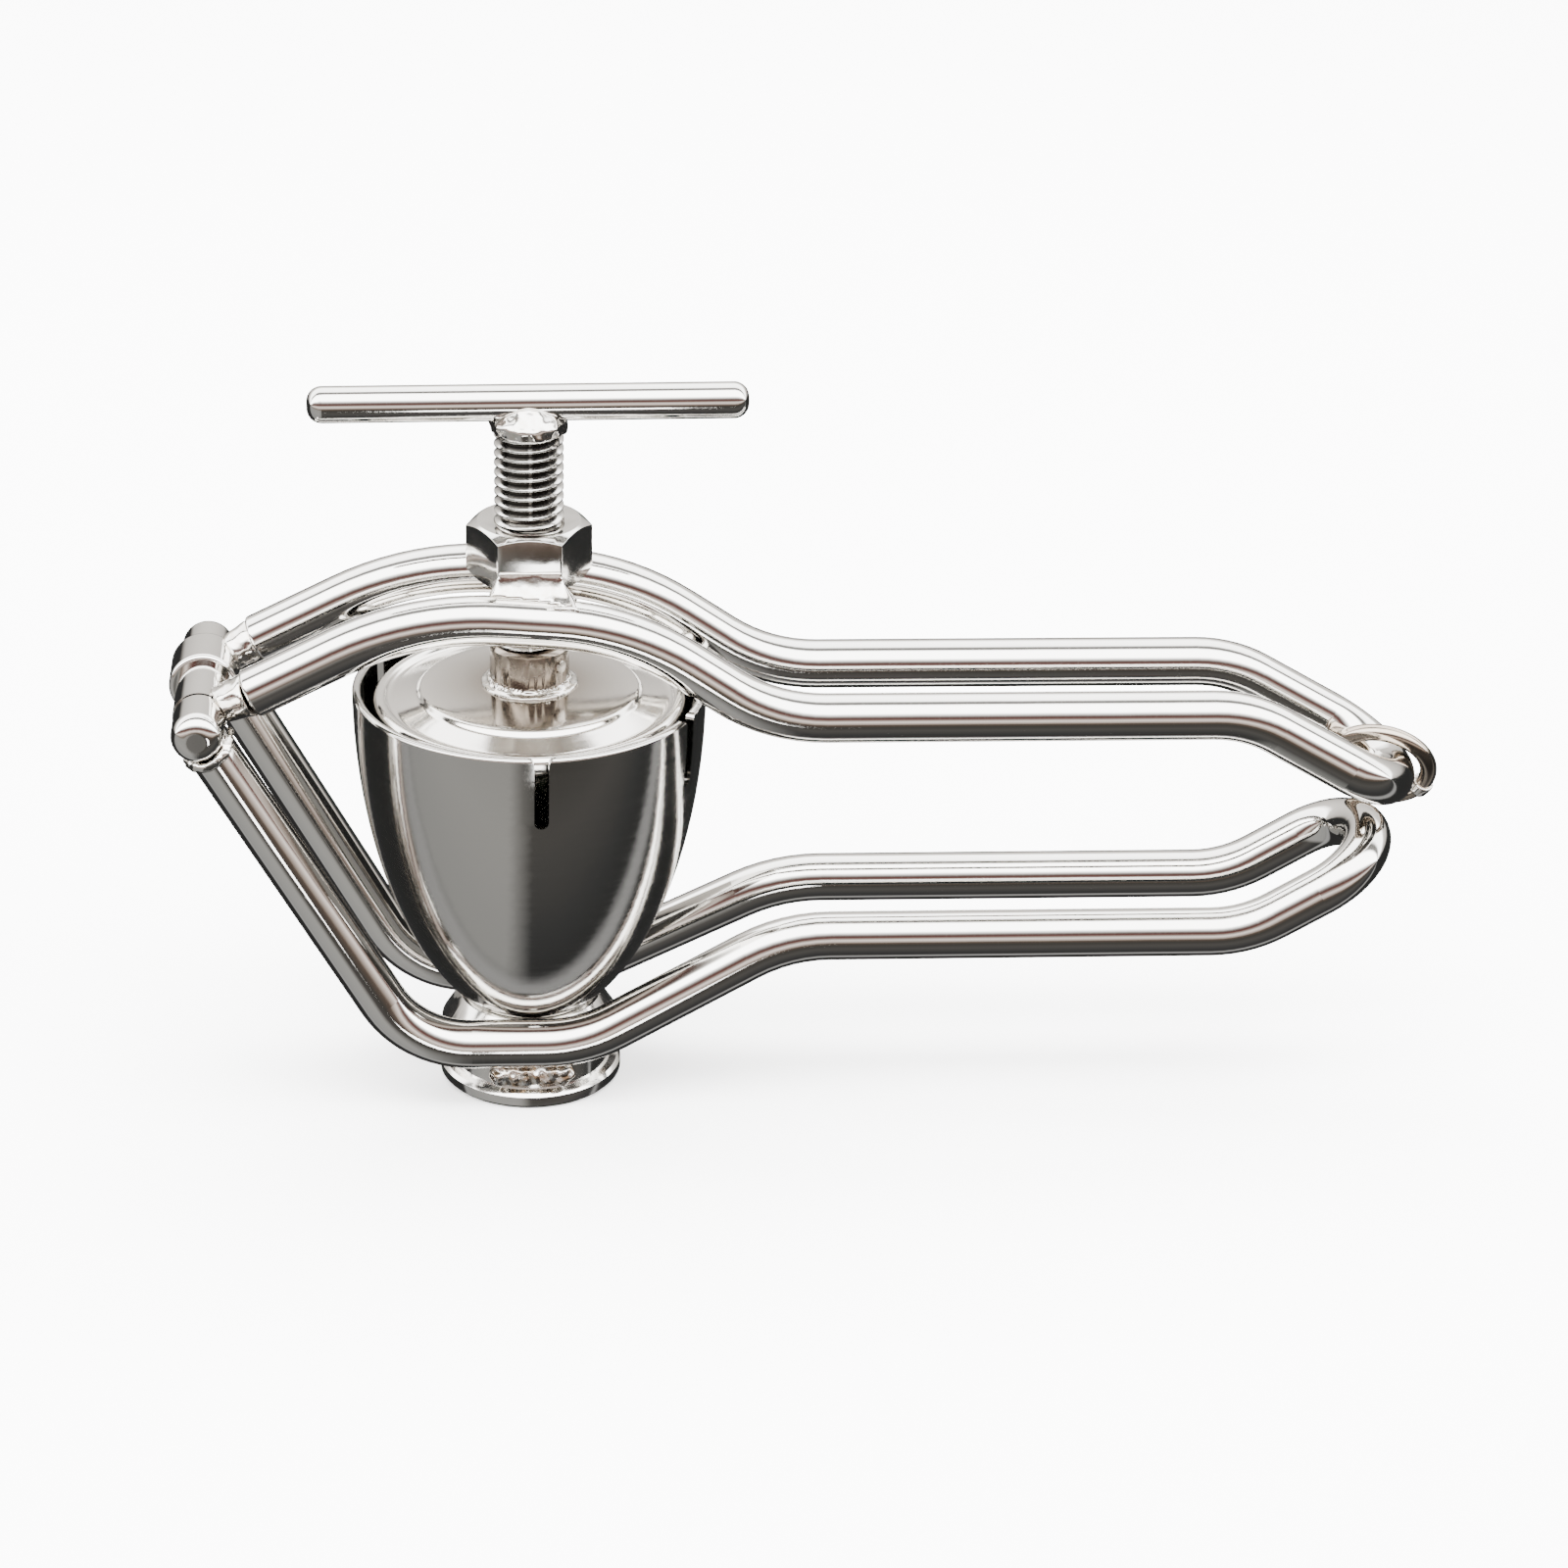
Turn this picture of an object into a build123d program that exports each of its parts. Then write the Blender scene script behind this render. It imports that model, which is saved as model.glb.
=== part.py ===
"""Hand fruit press: two bent-rod levers, a slotted cup and a screw-driven plunger.

Units are millimetres. The origin is the centre of the foot's underside, +X runs along the handles
towards the closed tip, +Y is the back and +Z is up. The levers are shown closed.
"""
import os
from math import cos, hypot, radians, sin, sqrt, tan

from build123d import *

# ---------------------------------------------------------------- cup, seat and foot
CUP_RADIUS = 41.0              # outside, at the rim
CUP_DEPTH = 86.0               # outside, rim to the round bottom
CUP_WALL = 2.0
CUP_LIP_ROUNDING = 0.9
LIP_SHARE = 0.45               # most of the wall that the lip's rounding may take
CUP_SINK = 1.7                 # cup bottom below the lower rods' centre line
CUP_ROD_GAP = 0.3
SLOT_COUNT = 6
SLOT_WIDTH = 3.3
SLOT_DEPTH = 17.7
SLOT_FLARE = 1.8               # rounding of each slot's mouth
SLOT_FIRST_ANGLE = -87.0       # degrees from +X
FOOT_RADIUS = 21.6
FOOT_FLANGE = 3.8
FOOT_CHAMFER = 0.8
FOOT_NECK_RADIUS = 19.0
FOOT_BORE_RADIUS = 14.0        # blind, from above
FOOT_LIFT = 10.75              # underside of the lower rods above the ground
SEAT_FLARE = 4.4               # seat's lower edge outside its upper edge
SEAT_RISE = 4.5                # seat's top above the rods' centre line
SEAT_DROP = 2.5                # seat's base below the rods' centre line
SEAT_LIP = 1.5                 # seat wall at its upper edge
SEAT_BORE_RADIUS = 8.0
SEAT_FIT = 0.05                # cup in its seat
NOTCH_FIT = 0.05               # seat and foot round the lower rods
FOOT_BEAD_LENGTH = 14.0
FOOT_BEAD_OUTSTAND = 0.4       # bead's line outside the neck
FOOT_BEAD_LIFT = 1.2           # and above the middle of the gap under the rod
FOOT_BEAD_BITE = 0.32          # bead's overlap with the rod before it is cut back

# ---------------------------------------------------------------- levers
ROD_RADIUS = 5.75
GRIP_HALF_SPREAD = 15.3        # rod centre line to the middle plane
HINGE_BEYOND_CUP = 34.2        # hinge axis outside the cup's rim
HINGE_BELOW_RIM = 0.8
UPPER_CREST_INSET = 15.0       # corners of the upper lever, from the cup's rim in plan
UPPER_CREST_LIFT = 24.2        # and above the rim
UPPER_SHOULDER_INSET = 19.0
UPPER_SHOULDER_LIFT = 20.7
UPPER_GRIP_OUTSET = 14.5
UPPER_GRIP_LIFT = -2.0
UPPER_GRIP_LENGTH = 110.5
UPPER_TIP_SLOPE = 30.0         # degrees down from the grip
UPPER_TIP_LENGTH = 37.5        # grip's end to the closed end, along X
LOWER_BED_FROM_HINGE = 47.2    # hinge axis to the bed's start, along X
LOWER_BED_AHEAD = 12.0         # bed's end from the cup's axis
LOWER_GRIP_OUTSET = 19.0
LOWER_GRIP_LIFT = -58.5
LOWER_GRIP_LENGTH = 109.0
LOWER_TIP_SLOPE = 31.0         # degrees up from the grip
LOWER_TIP_LENGTH = 30.3
UPPER_BENDS = [70.0, 60.0, 40.0, 30.0]
LOWER_BENDS = [24.0, 35.0, 40.0, 30.0]
END_BEND_SLACK = 0.1           # straight left in the middle of each closed end

# ---------------------------------------------------------------- hinge
PIN_RADIUS = 4.5
PIN_FIT = 0.06                 # radial, sleeve on pin
SLEEVE_RADIUS = 6.2            # front part of the sleeve
SLEEVE_SHOULDER_WALL = 1.8     # added by the thicker back part
SLEEVE_SHOULDER_Y = 1.5
SLEEVE_SHOULDER_ROUNDING = 1.1
SLEEVE_END_GAP = 0.35          # sleeve to hinge boss, each end
HINGE_ROD_INSET = 0.6          # lower rod's inner side outside the boss's inner face
BOSS_WALL = 1.5
BOSS_OUTSTAND = 1.4            # boss beyond the lower rod's outer side
BOSS_ROUNDING = 3.8
BOSS_CAP = 2.5                 # solid end of each boss
NECK_SLEEVE_RADIUS = 3.4
NECK_ROD_RADIUS = 4.9
NECK_REACH = 13.0              # hinge axis to the start of the upper rods
NECK_BOSS_GAP = 0.19           # neck kept clear of the boss beside it
ROD_END_ROUNDING = 0.8
HINGE_BEAD_RADIUS = 1.8
HINGE_BEAD_SINK = 0.5          # bead's line inside the rod's surface

# ---------------------------------------------------------------- nut, screw and handle bar
SCREW_RADIUS = 7.94            # 5/8 inch thread
SCREW_FIT = 0.06               # radial, screw in nut
NUT_ACROSS_FLATS = 25.0
NUT_HEIGHT = 13.5
NUT_CHAMFER = 2.6
NUT_ROD_GAP = 0.074            # nut's flat above the highest rod under it
WEB_TOP_WIDTH = 14.0
WEB_FOOT_WIDTH = 27.0
WEB_RISE = 6.0                 # web's top above the nut's base
WEB_THICKNESS = 6.0
WEB_HOLLOW = 8.0               # radius of the web's hollow front
WEB_HOLLOW_LIFT = 0.8          # hollow's centre above the web's top
WEB_WAIST_WIDEN = 1.8          # waist's half-width over the top's
WEB_WAIST_LIFT = 3.5           # waist above the web's foot
BAR_RADIUS = 4.2
BAR_LENGTH = 99.5
BAR_ABOVE_NUT = 28.3           # bar's centre line above the nut
BAR_YAW = 1.5                  # degrees
BAR_ROUNDING = 3.4
SCREW_CROWN = 1.2              # rounding at the screw's top
BAR_BEAD_REACH = 1.2           # weld's lower edge below the screw's crown
BAR_BEAD_SCREW_WALL = 0.3      # weld outside the screw, at its lower edge
BAR_BEAD_WALL = 0.5            # and at the screw's top
BAR_BEAD_BAR_WALL = 0.8        # weld outside the bar
BAR_BEAD_TOP_DROP = 0.3        # weld's top below the bar's centre line

# ---------------------------------------------------------------- plunger
PLUNGER_CUP_GAP = 2.7          # plunger's edge to the cup's inside
PLUNGER_DROP = 2.0             # plunger's edge below the cup's rim
PLUNGER_EDGE = 5.0
PLUNGER_LIP = 2.6
PLUNGER_GROOVE = 0.9
PLUNGER_STEP_INSET = 10.8
PLUNGER_STEP_LIFT = 1.8
PLUNGER_CROWN_LIFT = 3.0
PLUNGER_PLATE = 3.0
PLUNGER_CHAMFER = 1.5          # under the edge
PLUNGER_TOP_CHAMFER = 0.8
PLUNGER_FLOOR_INSET = 3.0      # hollow underside inside the lip
PLUNGER_STEP_FALL = 1.0        # foot of the step below its top
PLUNGER_STEP_CHAMFER = 0.5
PLUNGER_STEP_WIDTH = 2.0
SOCKET_ROD_GAP = 0.35          # socket to the upper rods' inner sides
SOCKET_HEIGHT = 10.2
SOCKET_CHAMFER = 0.8
SOCKET_BEAD = 1.9
SOCKET_BEAD_EDGE = 0.1         # bead's thin edge above the crown
SOCKET_BEAD_WAIST = 0.5        # hollow of the bead, out from the socket
SOCKET_BEAD_WAIST_LIFT = 0.6
TIP_RADIUS = 5.0
TIP_GROOVE_DEPTH = 1.4
TIP_GROOVE_WIDTH = 3.8
TIP_FIT = 0.06
THRUST_DISC = 1.5
END_GAP = 0.3                  # screw's tip to the thrust disc, and shoulder to the socket
GRUB_RADIUS = 1.5
GRUB_HEIGHT = 6.2              # above the plunger's crown
GRUB_ANGLE = -40.0
GRUB_OUTSTAND = 0.6

# ---------------------------------------------------------------- locking ring
RING_WIRE_RADIUS = 2.0
RING_ROOM = 4.15               # inside the ring, past the rod
RING_BEHIND_TIP = 1.2          # ring's centre from the upper lever's closed end
RING_SIDE = 6.2
RING_BELOW_TIP = 1.5
RING_YAW = -17.0               # plane normal from -Y, degrees about +Z
RING_TILT = -27.0              # plane normal above the horizontal, degrees
RING_BEAD_ANGLE = 14.0
RING_BEAD_PLACE = 60.0         # degrees round the ring
RING_BEAD_WALL = 0.35


def cup_outside(z):
    """Cup's outer radius at height z."""
    return CUP_RADIUS * sqrt(1 - ((cup_rim_z - z) / CUP_DEPTH) ** 2)


def rod_path(side_points, side_radii, half_spreads):
    """Centre line out along the front, round the closed end and back along the back.

    side_points are (x, z) corners from the hinge to the tip, side_radii the bend at each inner
    corner and half_spreads each corner's distance from the middle plane.
    """
    front = [Vector(x, -y, z) for (x, z), y in zip(side_points, half_spreads)]
    back = [Vector(p.X, -p.Y, p.Z) for p in reversed(front)]
    end_bend = half_spreads[-1] - END_BEND_SLACK
    radii = side_radii + [end_bend, end_bend] + side_radii[::-1]
    return FilletPolyline(*front, *back, radius=radii)


def rod_along(path, radius):
    """Round rod along a path."""
    return sweep(Plane(origin=path @ 0, z_dir=path % 0) * Circle(radius), path=path)


def bar(start, end, radius, end_radius=None):
    """Round or tapered bar from start to end."""
    start = Vector(*start)
    axis = Vector(*end) - start
    plane = Plane(origin=start, z_dir=axis)
    align = (Align.CENTER, Align.CENTER, Align.MIN)
    if end_radius is None:
        return plane * Cylinder(radius, axis.length, align=align)
    return plane * Cone(radius, end_radius, axis.length, align=align)


def y_bar(radius, y_from, y_to):
    """Round bar on the hinge axis."""
    return bar((hinge_x, y_from, hinge_z), (hinge_x, y_to, hinge_z), radius)


def turned(points):
    """Solid of revolution about Z from (radius, z) points."""
    outline = Polyline(*[(r, 0, z) for r, z in points], close=True)
    return revolve(make_face(outline), axis=Axis.Z)


def capsule(start, end, radius):
    """Bar with round ends, for a weld bead."""
    return bar(start, end, radius) + Pos(*start) * Sphere(radius) + Pos(*end) * Sphere(radius)


# ---------------------------------------------------------------- shared places
bed_z = FOOT_LIFT + ROD_RADIUS
cup_bottom_z = bed_z - CUP_SINK
cup_rim_z = cup_bottom_z + CUP_DEPTH
hinge_x = -(CUP_RADIUS + HINGE_BEYOND_CUP)
hinge_z = cup_rim_z - HINGE_BELOW_RIM

touch_angles = [radians(a) for a in range(0, 90, 10)]
bed_spread = CUP_ROD_GAP + max(
    cup_outside(bed_z + ROD_RADIUS * sin(a)) + ROD_RADIUS * cos(a) for a in touch_angles
)
sleeve_half = GRIP_HALF_SPREAD
boss_inner = sleeve_half + SLEEVE_END_GAP
hinge_spread = boss_inner + HINGE_ROD_INSET + ROD_RADIUS
boss_outer = hinge_spread + ROD_RADIUS + BOSS_OUTSTAND
boss_radius = PIN_RADIUS + BOSS_WALL

crest = (UPPER_CREST_INSET - CUP_RADIUS, cup_rim_z + UPPER_CREST_LIFT)
shoulder = (CUP_RADIUS - UPPER_SHOULDER_INSET, cup_rim_z + UPPER_SHOULDER_LIFT)
upper_grip_z = cup_rim_z + UPPER_GRIP_LIFT
upper_grip_start = (CUP_RADIUS + UPPER_GRIP_OUTSET, upper_grip_z)
upper_grip_end = (upper_grip_start[0] + UPPER_GRIP_LENGTH, upper_grip_z)
upper_tip_drop = UPPER_TIP_LENGTH * tan(radians(UPPER_TIP_SLOPE))
upper_tip = (upper_grip_end[0] + UPPER_TIP_LENGTH, upper_grip_z - upper_tip_drop)

bed_start = (hinge_x + LOWER_BED_FROM_HINGE, bed_z)
bed_end = (LOWER_BED_AHEAD, bed_z)
lower_grip_z = cup_rim_z + LOWER_GRIP_LIFT
lower_grip_start = (CUP_RADIUS + LOWER_GRIP_OUTSET, lower_grip_z)
lower_grip_end = (lower_grip_start[0] + LOWER_GRIP_LENGTH, lower_grip_z)
lower_tip_rise = LOWER_TIP_LENGTH * tan(radians(LOWER_TIP_SLOPE))
lower_tip = (lower_grip_end[0] + LOWER_TIP_LENGTH, lower_grip_z + lower_tip_rise)

nut_half = NUT_ACROSS_FLATS / 2
rod_slope = (crest[1] - shoulder[1]) / (shoulder[0] - crest[0])
rod_z_at_nut = crest[1] + crest[0] * rod_slope
flat_half = nut_half * tan(radians(30))
side_step = GRIP_HALF_SPREAD - nut_half
nut_base = rod_z_at_nut + sqrt(ROD_RADIUS**2 - side_step**2) + rod_slope * flat_half + NUT_ROD_GAP
nut_top = nut_base + NUT_HEIGHT
bar_z = nut_top + BAR_ABOVE_NUT
screw_top = bar_z - BAR_RADIUS

plunger_radius = CUP_RADIUS - CUP_WALL - PLUNGER_CUP_GAP
plunger_top = cup_rim_z - PLUNGER_DROP
crown_z = plunger_top + PLUNGER_CROWN_LIFT
socket_radius = GRIP_HALF_SPREAD - ROD_RADIUS - SOCKET_ROD_GAP
socket_top = crown_z + SOCKET_HEIGHT

parts = {}


# ---------------------------------------------------------------- levers
def lower_path():
    """Centre line of the lower rod, from the hinge axis and back to it."""
    corners = [(hinge_x, hinge_z), bed_start, bed_end, lower_grip_start, lower_grip_end, lower_tip]
    spreads = [hinge_spread, bed_spread, bed_spread] + [GRIP_HALF_SPREAD] * 3
    return rod_path(corners, LOWER_BENDS, spreads)


def lower_lever():
    """Lower rod: both ends stop on the hinge bosses."""
    rod = rod_along(lower_path(), ROD_RADIUS)
    for side in (-1, 1):
        rod -= y_bar(boss_radius, side * sleeve_half / 2, side * (boss_outer + ROD_RADIUS))
    return rod


def upper_start(distance):
    """Point on the upper rods' first run, at a distance from the hinge axis."""
    run = Vector(crest[0] - hinge_x, 0, crest[1] - hinge_z).normalized()
    return Vector(hinge_x, 0, hinge_z) + run * distance


def upper_lever():
    """Upper rod: starts beyond the necks, with its two ends rounded."""
    start = upper_start(NECK_REACH)
    corners = [(start.X, start.Z), crest, shoulder, upper_grip_start, upper_grip_end, upper_tip]
    rod = rod_along(rod_path(corners, UPPER_BENDS, [GRIP_HALF_SPREAD] * 6), ROD_RADIUS)
    ends = rod.edges().filter_by(GeomType.CIRCLE).sort_by(Axis.X)[:2]
    return fillet(ends, ROD_END_ROUNDING)


parts["lower_lever_rod"] = lower_lever()
parts["upper_lever_rod"] = upper_lever()


# ---------------------------------------------------------------- hinge
def hinge_sleeve():
    """Tube on the pin, thicker behind its shoulder."""
    shoulder_radius = SLEEVE_RADIUS + SLEEVE_SHOULDER_WALL
    tube = y_bar(SLEEVE_RADIUS, -sleeve_half, SLEEVE_SHOULDER_Y)
    thick = y_bar(shoulder_radius, SLEEVE_SHOULDER_Y, sleeve_half)
    thick = fillet(thick.edges().filter_by(GeomType.CIRCLE), SLEEVE_SHOULDER_ROUNDING)
    return tube + thick - y_bar(PIN_RADIUS + PIN_FIT, -sleeve_half - 1, sleeve_half + 1)


def hinge_boss(side):
    """Domed cap over one end of the pin, welded to the lower rod."""
    body = y_bar(boss_radius, side * boss_inner, side * boss_outer)
    rim = body.edges().filter_by(GeomType.CIRCLE).sort_by(Axis.Y)[0 if side < 0 else -1]
    body = fillet(rim, BOSS_ROUNDING)
    return body - y_bar(PIN_RADIUS, 0, side * (boss_outer - BOSS_CAP))


def hinge_bead(side):
    """Weld round the joint between a boss and the lower rod's end."""
    run = Vector(bed_start[0] - hinge_x, side * (bed_spread - hinge_spread), bed_z - hinge_z)
    run = run.normalized()
    place = Vector(hinge_x, side * hinge_spread, hinge_z) + run * boss_radius
    ring = Plane(origin=place, z_dir=run) * Torus(ROD_RADIUS - HINGE_BEAD_SINK, HINGE_BEAD_RADIUS)
    inside = y_bar(boss_radius + HINGE_BEAD_RADIUS, side * boss_inner, side * boss_outer)
    return (ring & inside) - parts["lower_lever_rod"] - y_bar(boss_radius, 0, side * boss_outer)


def neck(side):
    """Tapered weld between the sleeve and one upper rod."""
    start = upper_start(0)
    end = upper_start(NECK_REACH)
    y = side * (GRIP_HALF_SPREAD - NECK_SLEEVE_RADIUS)
    y_end = side * GRIP_HALF_SPREAD
    cone = bar((start.X, y, start.Z), (end.X, y_end, end.Z), NECK_SLEEVE_RADIUS, NECK_ROD_RADIUS)
    wall = SLEEVE_SHOULDER_WALL if side > 0 else 0
    cone -= y_bar(SLEEVE_RADIUS + wall, -hinge_spread, hinge_spread)
    boss_room = y_bar(
        boss_radius + NECK_BOSS_GAP, side * (boss_inner - NECK_BOSS_GAP), side * boss_outer
    )
    return cone - boss_room - parts["upper_lever_rod"]


pin_half = boss_outer - BOSS_CAP
parts["hinge_pin"] = y_bar(PIN_RADIUS, -pin_half, pin_half)
parts["hinge_sleeve"] = hinge_sleeve()
for side, place in ((-1, "front"), (1, "back")):
    parts[f"hinge_boss_{place}"] = hinge_boss(side)
    parts[f"hinge_bead_{place}"] = hinge_bead(side)
    parts[f"upper_neck_{place}"] = neck(side)


# ---------------------------------------------------------------- nut and its welds
def screw_nut():
    """Hexagon nut with chamfered corners and a plain bore for the thread."""
    blank = Pos(0, 0, nut_base) * extrude(RegularPolygon(nut_half, 6, major_radius=False), NUT_HEIGHT)
    corner = nut_half / cos(radians(30))
    slope = NUT_CHAMFER * tan(radians(30))
    chamfers = turned(
        [
            (0, nut_base),
            (corner - NUT_CHAMFER, nut_base),
            (corner, nut_base + slope),
            (corner, nut_top - slope),
            (corner - NUT_CHAMFER, nut_top),
            (0, nut_top),
        ]
    )
    bore = Pos(0, 0, nut_base - 1) * Cylinder(
        SCREW_RADIUS + SCREW_FIT, NUT_HEIGHT + 2, align=(Align.CENTER, Align.CENTER, Align.MIN)
    )
    return (blank & chamfers) - bore


def nut_web(side):
    """Hollow-fronted weld web from the nut's flat down to the rod under it."""
    top = nut_base + WEB_RISE
    foot = rod_z_at_nut + ROD_RADIUS / 2
    half_top, half_foot = WEB_TOP_WIDTH / 2, WEB_FOOT_WIDTH / 2
    waist = (half_top + WEB_WAIST_WIDEN, foot + WEB_WAIST_LIFT)
    outline = (
        Line((-half_top, 0, top), (half_top, 0, top))
        + ThreePointArc((half_top, 0, top), (waist[0], 0, waist[1]), (half_foot, 0, foot))
        + Line((half_foot, 0, foot), (-half_foot, 0, foot))
        + ThreePointArc((-half_foot, 0, foot), (-waist[0], 0, waist[1]), (-half_top, 0, top))
    )
    block = extrude(make_face(outline), amount=WEB_THICKNESS, dir=(0, side, 0))
    block = Pos(0, side * nut_half, 0) * block
    centre = (side * (nut_half + WEB_HOLLOW), top + WEB_HOLLOW_LIFT)
    hollow = bar((-half_foot, *centre), (half_foot, *centre), WEB_HOLLOW)
    return block - hollow - parts["upper_lever_rod"]


parts["screw_nut"] = screw_nut()
for side, place in ((-1, "front"), (1, "back")):
    parts[f"nut_web_{place}"] = nut_web(side)


# ---------------------------------------------------------------- screw and bar
def press_screw():
    """Screw at its thread's outer diameter, with a grooved tip that turns in the socket."""
    tip_z = crown_z + THRUST_DISC + END_GAP
    shoulder_z = socket_top + END_GAP
    groove_mid = crown_z + GRUB_HEIGHT
    low, high = groove_mid - TIP_GROOVE_WIDTH / 2, groove_mid + TIP_GROOVE_WIDTH / 2
    neck_radius = TIP_RADIUS - TIP_GROOVE_DEPTH
    return turned(
        [
            (0, tip_z),
            (TIP_RADIUS, tip_z),
            (TIP_RADIUS, low),
            (neck_radius, low),
            (neck_radius, high),
            (TIP_RADIUS, high),
            (TIP_RADIUS, shoulder_z),
            (SCREW_RADIUS, shoulder_z),
            (SCREW_RADIUS, screw_top - SCREW_CROWN),
            (SCREW_RADIUS - SCREW_CROWN, screw_top),
            (0, screw_top),
        ]
    )


def tee_bar():
    """Plain bar across the screw's top, with rounded ends."""
    half = BAR_LENGTH / 2
    plain = bar((-half, 0, 0), (half, 0, 0), BAR_RADIUS)
    plain = fillet(plain.edges().filter_by(GeomType.CIRCLE), BAR_ROUNDING)
    return Pos(0, 0, bar_z) * Rot(0, 0, BAR_YAW) * plain


def tee_bar_bead():
    """Weld saddle between the bar and the screw's top."""
    low = screw_top - SCREW_CROWN - BAR_BEAD_REACH
    high = bar_z - BAR_BEAD_TOP_DROP
    saddle = turned(
        [
            (0, low),
            (SCREW_RADIUS + BAR_BEAD_SCREW_WALL, low),
            (SCREW_RADIUS + BAR_BEAD_WALL, screw_top),
            (BAR_RADIUS + BAR_BEAD_BAR_WALL, high),
            (0, high),
        ]
    )
    return saddle - parts["press_screw"] - parts["tee_bar"]


parts["press_screw"] = press_screw()
parts["tee_bar"] = tee_bar()
parts["tee_bar_bead"] = tee_bar_bead()


# ---------------------------------------------------------------- cup, seat and foot
def slot_cutter():
    """Slot with a round bottom and a flared mouth, cut outwards through the wall at +X."""
    straight = SLOT_DEPTH - SLOT_WIDTH / 2
    slot = Pos(0, -straight / 2) * Rectangle(SLOT_WIDTH, straight)
    slot += Pos(0, -straight) * Circle(SLOT_WIDTH / 2)
    mouth = Pos(0, -SLOT_FLARE / 2) * Rectangle(SLOT_WIDTH + 2 * SLOT_FLARE, SLOT_FLARE)
    for side in (-1, 1):
        mouth -= Pos(side * (SLOT_WIDTH / 2 + SLOT_FLARE), -SLOT_FLARE) * Circle(SLOT_FLARE)
    plane = Plane(origin=(CUP_RADIUS / 2, 0, cup_rim_z), x_dir=(0, 1, 0), z_dir=(1, 0, 0))
    return extrude(plane * (slot + mouth), CUP_RADIUS)


def cup():
    """Half-ellipsoid shell with a rounded lip and slots down from the rim."""
    outer = Ellipse(CUP_RADIUS, CUP_DEPTH)
    inner = Ellipse(CUP_RADIUS - CUP_WALL, CUP_DEPTH - CUP_WALL)
    quarter = Pos(CUP_DEPTH, -CUP_DEPTH) * Rectangle(2 * CUP_DEPTH, 2 * CUP_DEPTH)
    wall = (outer - inner) & quarter
    lip = wall.vertices().sort_by(Axis.Y)[-2:]
    wall = fillet(lip, min(CUP_LIP_ROUNDING, CUP_WALL * LIP_SHARE))
    shell = Pos(0, 0, cup_rim_z) * revolve(Plane.XZ * wall, axis=Axis.Z)
    cutter = slot_cutter()
    for index in range(SLOT_COUNT):
        shell -= Rot(0, 0, SLOT_FIRST_ANGLE + index * 360 / SLOT_COUNT) * cutter
    return shell


def cup_hollow(fit):
    """Solid the shape of the cup's outside, grown by a fit."""
    quarter = Pos(CUP_DEPTH, -CUP_DEPTH) * Rectangle(2 * CUP_DEPTH, 2 * CUP_DEPTH)
    profile = Ellipse(CUP_RADIUS + fit, CUP_DEPTH + fit) & quarter
    return Pos(0, 0, cup_rim_z) * revolve(Plane.XZ * profile, axis=Axis.Z)


def cup_seat():
    """Flared collar that the cup's bottom stands in."""
    low, high = bed_z - SEAT_DROP, bed_z + SEAT_RISE
    top_radius = cup_outside(high) + SEAT_LIP
    collar = turned(
        [
            (SEAT_BORE_RADIUS, low),
            (top_radius + SEAT_FLARE, low),
            (top_radius, high),
            (SEAT_BORE_RADIUS, high),
        ]
    )
    return collar - cup_hollow(SEAT_FIT) - rod_notch


def foot_ring():
    """Turned foot: a closed flange on the ground and a hollow neck up to the seat."""
    neck_top = bed_z - SEAT_DROP
    foot = turned(
        [
            (0, 0),
            (FOOT_RADIUS - FOOT_CHAMFER, 0),
            (FOOT_RADIUS, FOOT_CHAMFER),
            (FOOT_RADIUS, FOOT_FLANGE - FOOT_CHAMFER),
            (FOOT_RADIUS - FOOT_CHAMFER, FOOT_FLANGE),
            (FOOT_NECK_RADIUS, FOOT_FLANGE),
            (FOOT_NECK_RADIUS, neck_top),
            (FOOT_BORE_RADIUS, neck_top),
            (FOOT_BORE_RADIUS, FOOT_FLANGE),
            (0, FOOT_FLANGE),
        ]
    )
    return foot - rod_notch


def foot_bead(side):
    """Weld between the foot's neck and one rod."""
    y = side * (FOOT_NECK_RADIUS + FOOT_BEAD_OUTSTAND)
    z = (FOOT_FLANGE + FOOT_LIFT) / 2 + FOOT_BEAD_LIFT
    half = FOOT_BEAD_LENGTH / 2
    radius = hypot(abs(y) - bed_spread, z - bed_z) - ROD_RADIUS + FOOT_BEAD_BITE
    bead = capsule((-half, y, z), (half, y, z), radius)
    return bead - parts["foot_ring"] - parts["lower_lever_rod"]


rod_notch = rod_along(lower_path(), ROD_RADIUS + NOTCH_FIT)
parts["cup"] = cup()
parts["cup_seat"] = cup_seat()
parts["foot_ring"] = foot_ring()
for side, place in ((-1, "front"), (1, "back")):
    parts[f"foot_bead_{place}"] = foot_bead(side)


# ---------------------------------------------------------------- plunger
def grub_bar(from_radius, to_radius, radius):
    """Bar on the grub screw's line."""
    angle = radians(GRUB_ANGLE)
    z = crown_z + GRUB_HEIGHT
    ends = [(r * cos(angle), r * sin(angle), z) for r in (from_radius, to_radius)]
    return bar(*ends, radius)


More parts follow.
